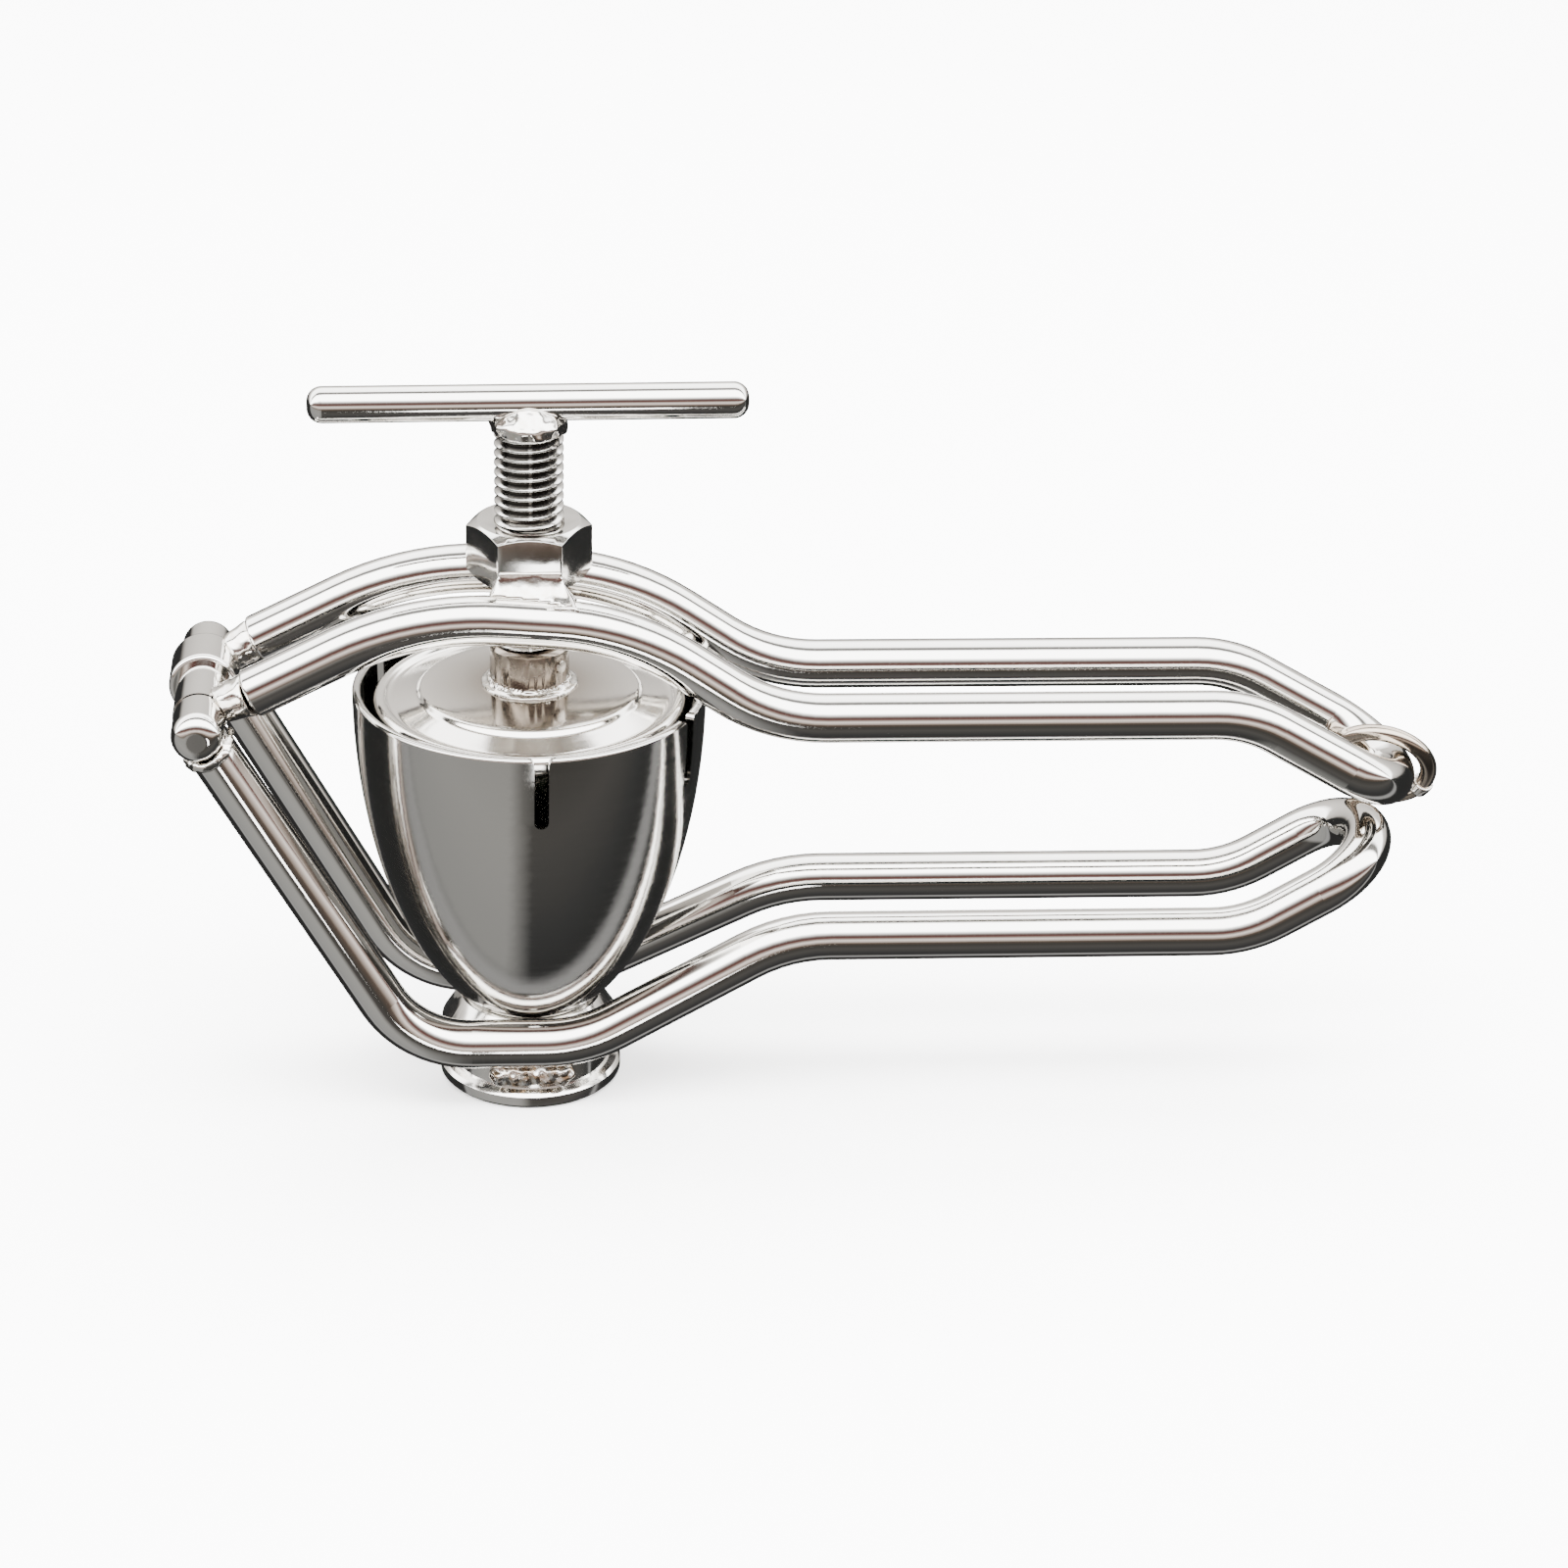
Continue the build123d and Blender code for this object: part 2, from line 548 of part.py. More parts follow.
def plunger():
    """Pressed disc: rounded edge, groove, sloping ring, step and flat crown."""
    step = plunger_radius - PLUNGER_STEP_INSET
    lip = plunger_radius - PLUNGER_LIP
    step_z = plunger_top + PLUNGER_STEP_LIFT
    under = plunger_top - PLUNGER_EDGE
    return turned(
        [
            (0, crown_z - PLUNGER_PLATE),
            (step - PLUNGER_STEP_WIDTH, step_z - PLUNGER_PLATE),
            (lip - PLUNGER_FLOOR_INSET, under),
            (plunger_radius - PLUNGER_CHAMFER, under),
            (plunger_radius, under + PLUNGER_CHAMFER),
            (plunger_radius, plunger_top - PLUNGER_TOP_CHAMFER),
            (plunger_radius - PLUNGER_TOP_CHAMFER, plunger_top),
            (lip, plunger_top),
            (lip - PLUNGER_TOP_CHAMFER, plunger_top - PLUNGER_GROOVE),
            (step, step_z - PLUNGER_STEP_FALL),
            (step - PLUNGER_STEP_CHAMFER, step_z),
            (step - PLUNGER_STEP_WIDTH, step_z),
            (socket_radius, crown_z),
            (0, crown_z),
        ]
    )


def plunger_socket():
    """Tube on the plunger's crown that holds the screw's tip."""
    tube = turned(
        [
            (TIP_RADIUS + TIP_FIT, crown_z),
            (socket_radius, crown_z),
            (socket_radius, socket_top - SOCKET_CHAMFER),
            (socket_radius - SOCKET_CHAMFER, socket_top),
            (TIP_RADIUS + TIP_FIT, socket_top),
        ]
    )
    return tube - grub_bar(0, 2 * socket_radius, GRUB_RADIUS)


def socket_bead():
    """Weld fillet round the socket's foot."""
    fillet_ring = turned(
        [
            (socket_radius, crown_z - SOCKET_BEAD),
            (socket_radius + SOCKET_BEAD, crown_z - SOCKET_BEAD),
            (socket_radius + SOCKET_BEAD, crown_z + SOCKET_BEAD_EDGE),
            (socket_radius + SOCKET_BEAD_WAIST, crown_z + SOCKET_BEAD_WAIST_LIFT),
            (socket_radius, crown_z + SOCKET_BEAD),
        ]
    )
    return fillet_ring - parts["plunger"]


def thrust_disc():
    """Hard disc at the socket's bottom that takes the screw's load."""
    align = (Align.CENTER, Align.CENTER, Align.MIN)
    return Pos(0, 0, crown_z) * Cylinder(TIP_RADIUS, THRUST_DISC, align=align)


groove_radius = TIP_RADIUS - TIP_GROOVE_DEPTH
parts["plunger"] = plunger()
parts["plunger_socket"] = plunger_socket()
parts["socket_bead"] = socket_bead()
parts["thrust_disc"] = thrust_disc()
parts["socket_grub_screw"] = grub_bar(
    groove_radius + END_GAP, socket_radius + GRUB_OUTSTAND, GRUB_RADIUS
)

# ---------------------------------------------------------------- locking ring
ring_radius = ROD_RADIUS + RING_ROOM + RING_WIRE_RADIUS
ring_centre = (upper_tip[0] - RING_BEHIND_TIP, RING_SIDE, upper_tip[1] - RING_BELOW_TIP)
yaw, tilt = radians(RING_YAW), radians(RING_TILT)
ring_normal = (sin(yaw) * cos(tilt), -cos(yaw) * cos(tilt), sin(tilt))
ring_plane = Plane(origin=ring_centre, z_dir=ring_normal)
parts["lock_ring"] = ring_plane * Torus(ring_radius, RING_WIRE_RADIUS)
bead_section = Plane.XZ * (Pos(ring_radius, 0) * Circle(RING_WIRE_RADIUS + RING_BEAD_WALL))
bead_arc = revolve(bead_section, axis=Axis.Z, revolution_arc=RING_BEAD_ANGLE)
parts["lock_ring_bead"] = ring_plane * Rot(0, 0, RING_BEAD_PLACE) * bead_arc - parts["lock_ring"]

# ---------------------------------------------------------------- files
os.makedirs("parts", exist_ok=True)
for name, solid in parts.items():
    export_step(solid, f"parts/{name}.step")
print(f"{len(parts)} parts, hinge axis at x {hinge_x:.2f}, z {hinge_z:.2f} mm")
print(f"cup rim {cup_rim_z:.2f}, nut {nut_base:.2f} to {nut_top:.2f}, bar {bar_z:.2f} mm")
print(f"upper tip {upper_tip[0]:.2f}, {upper_tip[1]:.2f}; lower tip {lower_tip[0]:.2f}, {lower_tip[1]:.2f} mm")
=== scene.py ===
# %% [markdown]
# # A hand fruit press in polished steel
#
# This lesson dresses a finished CAD model of a hand press: two levers of bent round rod, a
# slotted cup, and a plunger on a screw. The CAD says where every part is, so nothing is measured
# by eye here. The first cell loads it.

# %% Load the CAD frame
from math import cos, pi, radians, sin

import bmesh
import bpy
from mathutils import Matrix, Quaternion, Vector, noise


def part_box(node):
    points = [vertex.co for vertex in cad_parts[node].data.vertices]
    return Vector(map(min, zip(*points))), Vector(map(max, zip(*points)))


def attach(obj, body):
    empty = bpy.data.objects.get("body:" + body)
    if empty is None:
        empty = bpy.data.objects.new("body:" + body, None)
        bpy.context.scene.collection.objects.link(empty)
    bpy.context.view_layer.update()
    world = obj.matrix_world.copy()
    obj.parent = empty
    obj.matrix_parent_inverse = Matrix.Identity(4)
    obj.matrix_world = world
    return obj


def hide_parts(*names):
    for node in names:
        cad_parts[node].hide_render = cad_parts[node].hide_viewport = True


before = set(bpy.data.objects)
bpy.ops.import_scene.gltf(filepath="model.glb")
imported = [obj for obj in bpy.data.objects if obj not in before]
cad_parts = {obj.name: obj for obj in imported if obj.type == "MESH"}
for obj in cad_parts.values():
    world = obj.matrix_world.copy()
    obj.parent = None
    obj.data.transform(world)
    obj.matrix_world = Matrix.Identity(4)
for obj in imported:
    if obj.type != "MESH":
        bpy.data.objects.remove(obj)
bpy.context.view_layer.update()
MM = 0.001

# %% [markdown]
# ## Camera
# The camera stands about a metre away with a long lens, so that near and far ends look alike.
# It is placed by a bearing, a height angle and a distance from the point it looks at, and then
# rolled a little.

# %% Camera
BEARING = radians(-4.4)
HEIGHT_ANGLE = radians(25.7)
DISTANCE = 1036 * MM
ROLL = radians(1.42)
LENS = 101.1
SENSOR = 36.0
AIM = Vector((59.7, 0, 74.65)) * MM

back = Vector(
    (sin(BEARING) * cos(HEIGHT_ANGLE), -cos(BEARING) * cos(HEIGHT_ANGLE), sin(HEIGHT_ANGLE))
)
camera_data = bpy.data.cameras.new("camera")
camera_data.lens, camera_data.sensor_width = LENS, SENSOR
camera_data.clip_start, camera_data.clip_end = 0.01, 100
camera = bpy.data.objects.new("camera", camera_data)
camera.rotation_mode = "QUATERNION"
camera.location = AIM + back * DISTANCE
camera.rotation_quaternion = (-back).to_track_quat("-Z", "Y") @ Quaternion((0, 0, 1), ROLL)
bpy.context.scene.collection.objects.link(camera)
bpy.context.scene.camera = camera
print("camera at", [round(v, 3) for v in camera.location])

# %% [markdown]
# ## Floor and studio light
# Polished steel has almost no colour of its own: it shows the room. Bright panels give the white
# bands along each rod, and the gaps between them give the thin dark lines. So the room is painted
# on the world as long panels that run beside the press: a function of one angle, measured round
# the press's long axis. The floor is white paper. It takes light and shadow, but the steel looks
# past it at the dark table of the room.

# %% Node helper
def linear(colour):
    """Linear red, green and blue of an sRGB hex colour."""
    values = [int(colour[i : i + 2], 16) / 255 for i in (1, 3, 5)]
    return [v / 12.92 if v <= 0.04045 else ((v + 0.055) / 1.055) ** 2.4 for v in values] + [1.0]


def node(tree, kind, links=None, **values):
    """Adds a node: settings by attribute or socket name, links by socket name or number."""
    made = tree.nodes.new(kind)
    for key, value in values.items():
        if hasattr(made, key):
            setattr(made, key, value)
        else:
            made.inputs[key.replace("_", " ")].default_value = value
    for key, source in (links or {}).items():
        tree.links.new(source, made.inputs[key])
    return made


# %% Studio world
PANELS = [  # degrees round the long axis from the front horizon, tint, brightness
    (-180, "#ffffff", 0.04),
    (-100, "#ffffff", 0.04),
    (-94, "#ffffff", 0.5),
    (-87, "#ffffff", 0.5),
    (-80, "#ffffff", 0.05),
    (-63, "#ffffff", 0.07),
    (-40, "#fffaf4", 0.12),
    (-22, "#fff8ee", 0.08),
    (-12, "#ffdfc8", 0.16),
    (-5, "#ffece0", 0.9),
    (3, "#fff3ec", 1.9),
    (10, "#ffe8de", 0.6),
    (17, "#ff9c8e", 0.2),
    (22, "#ffd6cc", 0.2),
    (28, "#fff2ee", 0.6),
    (36, "#ffffff", 3.0),
    (44, "#ffffff", 12.0),
    (80, "#ffffff", 12.0),
    (87, "#fffcf8", 0.5),
    (98, "#fffcf8", 0.4),
    (106, "#ffffff", 7.0),
    (138, "#ffffff", 8.0),
    (149, "#fffaf4", 1.8),
    (172, "#fffaf4", 1.0),
    (178, "#fffaf4", 0.2),
]
world = bpy.data.worlds.new("studio")
bpy.context.scene.world = world
world.use_nodes = True
studio = world.node_tree
studio.nodes.clear()
direction = node(studio, "ShaderNodeTexCoord").outputs["Generated"]
axes = node(studio, "ShaderNodeSeparateXYZ", {0: direction})
frontward = node(studio, "ShaderNodeMath", {0: axes.outputs[1]}, operation="MULTIPLY")
frontward.inputs[1].default_value = -1.0  # the front is towards -Y
turn = node(
    studio, "ShaderNodeMath", {0: axes.outputs[2], 1: frontward.outputs[0]}, operation="ARCTAN2"
)
part_turn = node(
    studio, "ShaderNodeMapRange", {"Value": turn.outputs[0]}, From_Min=-pi, From_Max=pi
)
ramp = node(studio, "ShaderNodeValToRGB", {"Fac": part_turn.outputs[0]})
stops = ramp.color_ramp.elements
for index, (angle, colour, brightness) in enumerate(PANELS):
    place = (angle + 180) / 360
    stop = stops[index] if index < 2 else stops.new(place)
    stop.position = place
    stop.color = [v * brightness for v in linear(colour)[:3]] + [1.0]

# %% [markdown]
# The table to the left of the press is paler than to its right, so the cup's front is half light
# and half dark.

# %% Paler table on the left
LEFT_TABLE = [(-88, 0.0), (-78, 0.42), (-18, 0.42), (-10, 0.0)]
leftward = node(
    studio, "ShaderNodeMapRange", {"Value": axes.outputs[0]}, From_Min=0.0, From_Max=-0.22
)
left_ramp = node(studio, "ShaderNodeValToRGB", {"Fac": part_turn.outputs[0]})
left_stops = left_ramp.color_ramp.elements
for index, (angle, brightness) in enumerate(LEFT_TABLE):
    place = (angle + 180) / 360
    stop = left_stops[index] if index < 2 else left_stops.new(place)
    stop.position = place
    stop.color = (brightness, brightness, brightness * 0.97, 1.0)
room = node(
    studio,
    "ShaderNodeMixRGB",
    {0: leftward.outputs[0], 1: ramp.outputs[0], 2: left_ramp.outputs[0]},
    blend_type="ADD",
)
sky = node(studio, "ShaderNodeBackground", {"Color": room.outputs[0]}, Strength=1.0)
node(studio, "ShaderNodeOutputWorld", {"Surface": sky.outputs[0]})
print(len(PANELS), "stops of light round the press")

# %% [markdown]
# The floor is a plain sheet of matt white paper. One wide soft lamp overhead gives it light and
# a faint shadow. The steel mirrors neither, because both would hide the panels' thin lines.

# %% Floor and lamps
floor_mesh = bmesh.new()
bmesh.ops.create_grid(floor_mesh, x_segments=1, y_segments=1, size=20)
floor_data = bpy.data.meshes.new("floor")
floor_mesh.to_mesh(floor_data)
floor = bpy.data.objects.new("floor", floor_data)
bpy.context.scene.collection.objects.link(floor)
floor.visible_glossy = False
paper = bpy.data.materials.new("white_paper")
paper.use_nodes = True
matt = paper.node_tree.nodes["Principled BSDF"].inputs
matt["Base Color"].default_value = linear("#fafafa")
matt["Roughness"].default_value = 0.9
floor_data.materials.append(paper)


def softbox(name, place, size, power):
    """A square lamp that looks at the press and isn't seen in the steel."""
    data = bpy.data.lights.new(name, "AREA")
    data.size, data.energy = size, power
    lamp = bpy.data.objects.new(name, data)
    lamp.location = place
    lamp.rotation_mode = "QUATERNION"
    lamp.rotation_quaternion = (AIM - lamp.location).to_track_quat("-Z", "Y")
    lamp.visible_glossy = False
    bpy.context.scene.collection.objects.link(lamp)
    return lamp


softbox("top_light", Vector((0.1, 0.2, 1.6)), 2.4, 260)
print("floor and one lamp")

# %% [markdown]
# A small lit card lies low in front, to brighten the nut's front flat, which mirrors it. It is
# below the paper, so no camera sees it.

# %% Bounce card
CARD_REACH, CARD_SIZE = 0.62, 0.05
nut_low, nut_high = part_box("screw_nut")
nut_front = Vector((0, nut_low.y, (nut_low.z + nut_high.z) / 2))
to_card = Vector((-back.x, back.y, -back.z))
card_mesh = bmesh.new()
bmesh.ops.create_grid(card_mesh, x_segments=1, y_segments=1, size=CARD_SIZE)
facing = to_card.to_track_quat("-Z", "Y").to_matrix().to_4x4()
card_mesh.transform(Matrix.Translation(nut_front + to_card * CARD_REACH) @ facing)
card_data = bpy.data.meshes.new("bounce_card")
card_mesh.to_mesh(card_data)
card = bpy.data.objects.new("bounce_card", card_data)
bpy.context.scene.collection.objects.link(card)
card.visible_shadow = False
glow = bpy.data.materials.new("lit_card")
glow.use_nodes = True
lit = glow.node_tree.nodes["Principled BSDF"].inputs
lit["Base Color"].default_value = linear("#000000")
lit["Emission Color"].default_value = linear("#ffffff")
lit["Emission Strength"].default_value = 9.0
card_data.materials.append(glow)
print("card", round(CARD_REACH / MM), "mm from the nut")

# %% [markdown]
# ## The steels
# The whole press is stainless steel, so its finishes differ only in how they were made. Polished
# rod was drawn, bent and buffed: it mirrors the room, with a slow waviness from the bending and
# fine lines from the buffing wheel. Each finish below starts from one bare steel and adds its own
# marks. The marks are patterns in the object's own millimetres, so they keep their size on every
# part.

# %% Bare steel
STEEL_COLOUR = "#dcdad6"
NOISE_LOW, NOISE_HIGH = 0.3, 0.7  # cloudy noise seldom goes past these


def bare_steel(name, roughness, colour=STEEL_COLOUR):
    """A plain metal: the material, its tree, its shader and the object's own coordinates."""
    material = bpy.data.materials.new(name)
    material.use_nodes = True
    tree = material.node_tree
    shader = tree.nodes["Principled BSDF"]
    shader.inputs["Base Color"].default_value = linear(colour)
    shader.inputs["Metallic"].default_value = 1.0
    shader.inputs["Roughness"].default_value = roughness
    place = node(tree, "ShaderNodeTexCoord").outputs["Object"]
    return material, tree, shader, place


# %% [markdown]
# Buffed rod: lines from the wheel run round the rod about every half millimetre, far too shallow to
# feel. Bending leaves the surface wavy every centimetre or so, which makes the reflections waver.
# Each pattern is a cloudy noise. Its scale is one over its real spacing, and a Mapping node
# stretches it into lines. It does two things: a Map Range turns it into roughness, and a Bump turns
# it into height.

# %% Polished rod
ROD_WAVE, ROD_LINE = 11.0, 0.5
WAVE_DEPTH, LINE_DEPTH = 0.035, 0.0006


def polished_rod():
    """Mirror-bright bent bar, with bending waves and buffing lines."""
    material, tree, shader, place = bare_steel("polished_stainless_rod", 0.06)
    waves = node(
        tree, "ShaderNodeTexNoise", {"Vector": place}, Scale=1 / (ROD_WAVE * MM), Detail=1.0
    )
    along = node(tree, "ShaderNodeMapping", {"Vector": place}, Scale=(1, 0.08, 0.08))
    lines = node(
        tree, "ShaderNodeTexNoise", {"Vector": along.outputs[0]},
        Scale=1 / (ROD_LINE * MM), Detail=3.0,
    )
    dull = node(
        tree, "ShaderNodeMapRange", {"Value": lines.outputs[0]},
        From_Min=NOISE_LOW, From_Max=NOISE_HIGH, To_Min=0.045, To_Max=0.1,
    )
    wavy = node(
        tree, "ShaderNodeBump", {"Height": waves.outputs[0]},
        Strength=1.0, Distance=WAVE_DEPTH * MM,
    )
    lined = node(
        tree, "ShaderNodeBump", {"Height": lines.outputs[0], "Normal": wavy.outputs[0]},
        Strength=1.0, Distance=LINE_DEPTH * MM,
    )
    tree.links.new(dull.outputs[0], shader.inputs["Roughness"])
    tree.links.new(lined.outputs[0], shader.inputs["Normal"])
    return material


# %% [markdown]
# The cup was pressed from sheet and polished on a lathe, so its marks are fine rings round it, and
# the sheet keeps a slight orange-peel ripple. It is a little duller than the rods.

# %% Polished cup and plunger
RING_LINE, SHEET_RIPPLE = 0.6, 7.0
RIPPLE_DEPTH = 0.006


def lathe_polished(name, roughness, colour):
    """Sheet steel polished while turning: rings about the upright axis."""
    material, tree, shader, place = bare_steel(name, roughness, colour)
    around = node(tree, "ShaderNodeMapping", {"Vector": place}, Scale=(0.02, 0.02, 1))
    rings = node(
        tree, "ShaderNodeTexNoise", {"Vector": around.outputs[0]},
        Scale=1 / (RING_LINE * MM), Detail=3.0,
    )
    ripple = node(
        tree, "ShaderNodeTexNoise", {"Vector": place}, Scale=1 / (SHEET_RIPPLE * MM), Detail=1.0
    )
    dull = node(
        tree, "ShaderNodeMapRange", {"Value": rings.outputs[0]},
        From_Min=NOISE_LOW, From_Max=NOISE_HIGH, To_Min=roughness * 0.7, To_Max=roughness * 1.4,
    )
    rippled = node(
        tree, "ShaderNodeBump", {"Height": ripple.outputs[0]},
        Strength=1.0, Distance=RIPPLE_DEPTH * MM,
    )
    ringed = node(
        tree, "ShaderNodeBump", {"Height": rings.outputs[0], "Normal": rippled.outputs[0]},
        Strength=1.0, Distance=LINE_DEPTH * MM,
    )
    tree.links.new(dull.outputs[0], shader.inputs["Roughness"])
    tree.links.new(ringed.outputs[0], shader.inputs["Normal"])
    return material, tree, shader, place


# %% [markdown]
# The socket is welded to the middle of the plunger. Round it the plunger's colour is darkened to a
# grey-brown that fades outwards: a painted reflection, darkest next to the socket.

# %% Painted reflection on the plunger
SOCKET_RADIUS, REFLECTION_REACH = 9.0, 27.0
PLUNGER_COLOUR, PAINTED_REFLECTION_COLOUR = "#dad7d2", "#857c71"
pressed, pressed_tree, pressed_shader, pressed_place = lathe_polished(
    "polished_pressed_steel", 0.11, PLUNGER_COLOUR
)
flattened = node(
    pressed_tree, "ShaderNodeMapping", {"Vector": pressed_place}, Scale=(1 / MM, 1 / MM, 0)
)
outwards = node(pressed_tree, "ShaderNodeVectorMath", {0: flattened.outputs[0]}, operation="LENGTH")
fading = node(
    pressed_tree, "ShaderNodeMapRange", {"Value": outwards.outputs["Value"]},
    From_Min=SOCKET_RADIUS, From_Max=REFLECTION_REACH,
)
# Painted reflection: a grey-brown darkening of the colour next to the socket, fading out to plain
# steel.
painted_reflection = node(pressed_tree, "ShaderNodeValToRGB", {"Fac": fading.outputs[0]})
painted_reflection.color_ramp.elements[0].color = linear(PAINTED_REFLECTION_COLOUR)
painted_reflection.color_ramp.elements[1].color = linear(PLUNGER_COLOUR)
pressed_tree.links.new(painted_reflection.outputs[0], pressed_shader.inputs["Base Color"])
print("painted reflection from", SOCKET_RADIUS, "to", REFLECTION_REACH, "mm")

# %% [markdown]
# Welds are small castings: the bead freezes in ripples and then colours brown and blue where the
# heat reached. On this press most welds were dressed and polished afterwards, and only those under
# the rods were left raw.

# %% Welds
WELD_RIPPLE, WELD_PIT = 1.6, 0.5
PIT_SHARE = 0.12  # a pit's depth, as a share of a lump's


def weld_metal(name, roughness, depth, tint):
    """Frozen weld: soft lumps, small pits and a trace of heat colour."""
    material, tree, shader, place = bare_steel(name, roughness)
    lumps = node(
        tree, "ShaderNodeTexNoise", {"Vector": place}, Scale=1 / (WELD_RIPPLE * MM), Detail=2.0
    )
    pits = node(
        tree, "ShaderNodeTexNoise", {"Vector": place}, Scale=1 / (WELD_PIT * MM), Detail=3.0
    )
    heat = node(tree, "ShaderNodeValToRGB", {"Fac": lumps.outputs[0]})
    heat.color_ramp.elements[0].position, heat.color_ramp.elements[1].position = 0.35, 0.62
    heat.color_ramp.elements[0].color = linear(tint)
    heat.color_ramp.elements[1].color = linear(STEEL_COLOUR)
    dull = node(
        tree, "ShaderNodeMapRange", {"Value": pits.outputs[0]},
        From_Min=NOISE_LOW, From_Max=NOISE_HIGH, To_Min=roughness * 0.6, To_Max=roughness * 1.5,
    )
    lumpy = node(
        tree, "ShaderNodeBump", {"Height": lumps.outputs[0]}, Strength=1.0, Distance=depth * MM
    )
    pitted = node(
        tree, "ShaderNodeBump", {"Height": pits.outputs[0], "Normal": lumpy.outputs[0]},
        Strength=1.0, Distance=depth * PIT_SHARE * MM,
    )
    tree.links.new(heat.outputs[0], shader.inputs["Base Color"])
    tree.links.new(dull.outputs[0], shader.inputs["Roughness"])
    tree.links.new(pitted.outputs[0], shader.inputs["Normal"])
    return material


# %% [markdown]
# A rolled thread is bright on its crests and darker in its roots. The darkness in the roots is
# painted shade in the colour, fading to plain steel on the crests. The shade follows the distance
# from the screw's own axis.

# %% Thread steel
THREAD_GRIT, GRIT_DEPTH = 0.5, 0.004


def thread_steel(root, crest):
    """Rolled thread: painted shade in the roots, fading to plain steel on the crests, by radius in
    millimetres.
    """
    material, tree, shader, place = bare_steel("thread_steel_with_painted_shade", 0.14)
    flat = node(tree, "ShaderNodeMapping", {"Vector": place}, Scale=(1 / MM, 1 / MM, 0))
    radius = node(tree, "ShaderNodeVectorMath", {0: flat.outputs[0]}, operation="LENGTH")
    height = node(
        tree, "ShaderNodeMapRange", {"Value": radius.outputs["Value"]},
        From_Min=root, From_Max=crest,
    )
    # Painted shade: dark in the thread's roots, plain steel colour on its crests.
    shade = node(tree, "ShaderNodeValToRGB", {"Fac": height.outputs[0]})
    shade.color_ramp.elements[0].color = linear("#39332d")
    shade.color_ramp.elements[1].position = 0.8
    shade.color_ramp.elements[1].color = linear(STEEL_COLOUR)
    grit = node(
        tree, "ShaderNodeTexNoise", {"Vector": place}, Scale=1 / (THREAD_GRIT * MM), Detail=3.0
    )
    dull = node(
        tree, "ShaderNodeMapRange", {"Value": grit.outputs[0]},
        From_Min=NOISE_LOW, From_Max=NOISE_HIGH, To_Min=0.1, To_Max=0.22,
    )
    gritty = node(
        tree, "ShaderNodeBump", {"Height": grit.outputs[0]},
        Strength=1.0, Distance=GRIT_DEPTH * MM,
    )
    tree.links.new(shade.outputs[0], shader.inputs["Base Color"])
    tree.links.new(dull.outputs[0], shader.inputs["Roughness"])
    tree.links.new(gritty.outputs[0], shader.inputs["Normal"])
    return material


# %% [markdown]
# A part turned on a lathe keeps fine rings from the tool. A quick polish afterwards leaves wide
# smears that are a little duller or brighter than the rest.

# %% Turned steel
TOOL_RING, POLISH_SMEAR = 0.4, 5.0
TOOL_DEPTH = 0.0012


def turned_steel(name, roughness, colour=STEEL_COLOUR):
    """Lathe-turned part: fine rings from the tool, then a quick polish."""
    material, tree, shader, place = bare_steel(name, roughness, colour)
    around = node(tree, "ShaderNodeMapping", {"Vector": place}, Scale=(0.03, 0.03, 1))
    rings = node(
        tree, "ShaderNodeTexNoise", {"Vector": around.outputs[0]},
        Scale=1 / (TOOL_RING * MM), Detail=2.0,
    )
    smear = node(
        tree, "ShaderNodeTexNoise", {"Vector": place}, Scale=1 / (POLISH_SMEAR * MM), Detail=2.0
    )
    dull = node(
        tree, "ShaderNodeMapRange", {"Value": smear.outputs[0]},
        From_Min=NOISE_LOW, From_Max=NOISE_HIGH, To_Min=roughness * 0.7, To_Max=roughness * 1.5,
    )
    ringed = node(
        tree, "ShaderNodeBump", {"Height": rings.outputs[0]},
        Strength=1.0, Distance=TOOL_DEPTH * MM,
    )
    tree.links.new(dull.outputs[0], shader.inputs["Roughness"])
    tree.links.new(ringed.outputs[0], shader.inputs["Normal"])
    return material


# %% [markdown]
# One steel for each way that a part was made. The drawn wire of the ring was never polished, so it
# is darker and browner than the rods, and the socket is given a darker, browner steel too.

# %% The finishes
finishes = {
    "rod": polished_rod(),
    "cup": lathe_polished("polished_deep_drawn_steel", 0.1, "#c9c7c3")[0],
    "plunger": pressed,
    "polished_weld": weld_metal("polished_weld_steel", 0.12, 0.05, "#cfc9c0"),
    "raw_weld": weld_metal("raw_weld_steel", 0.24, 0.12, "#a08a72"),
    "thread": thread_steel(6.5, 7.9),
    "turned": turned_steel("turned_stainless_steel", 0.12),
    "nut": turned_steel("polished_nut_steel", 0.09),
    "hard": turned_steel("hardened_steel", 0.2, "#b5afa6"),
    # The socket gets a darker, browner steel colour.
    "socket": turned_steel("dark_socket_steel", 0.2, "#8a8177"),
    "ring": turned_steel("drawn_wire_steel", 0.14, "#a3988c"),
}
print("finishes:", ", ".join(m.name for m in finishes.values()))

# %% [markdown]
# ## Which finish goes where
# The rods, the cup and the plain turned parts keep their CAD shape, which is already exact. They
# only take a finish. The welds, the thread, the nut and the plunger get finer pieces after this.

# %% Finishes on the CAD parts
WEARS = {
    "rod": [
        "lower_lever_rod", "upper_lever_rod", "tee_bar",
        "hinge_boss_front", "hinge_boss_back", "hinge_sleeve", "hinge_pin",
    ],
    "cup": ["cup"],
    "plunger": ["plunger"],
    "turned": ["cup_seat", "foot_ring"],
    "socket": ["plunger_socket"],
    "ring": ["lock_ring"],
    "polished_weld": [
        "hinge_bead_front", "hinge_bead_back", "upper_neck_front", "upper_neck_back",
        "nut_web_front", "nut_web_back", "tee_bar_bead", "lock_ring_bead",
    ],
    "raw_weld": ["foot_bead_front", "foot_bead_back", "socket_bead"],
    "thread": ["press_screw"],
    "nut": ["screw_nut"],
    "hard": ["thrust_disc", "socket_grub_screw"],
}
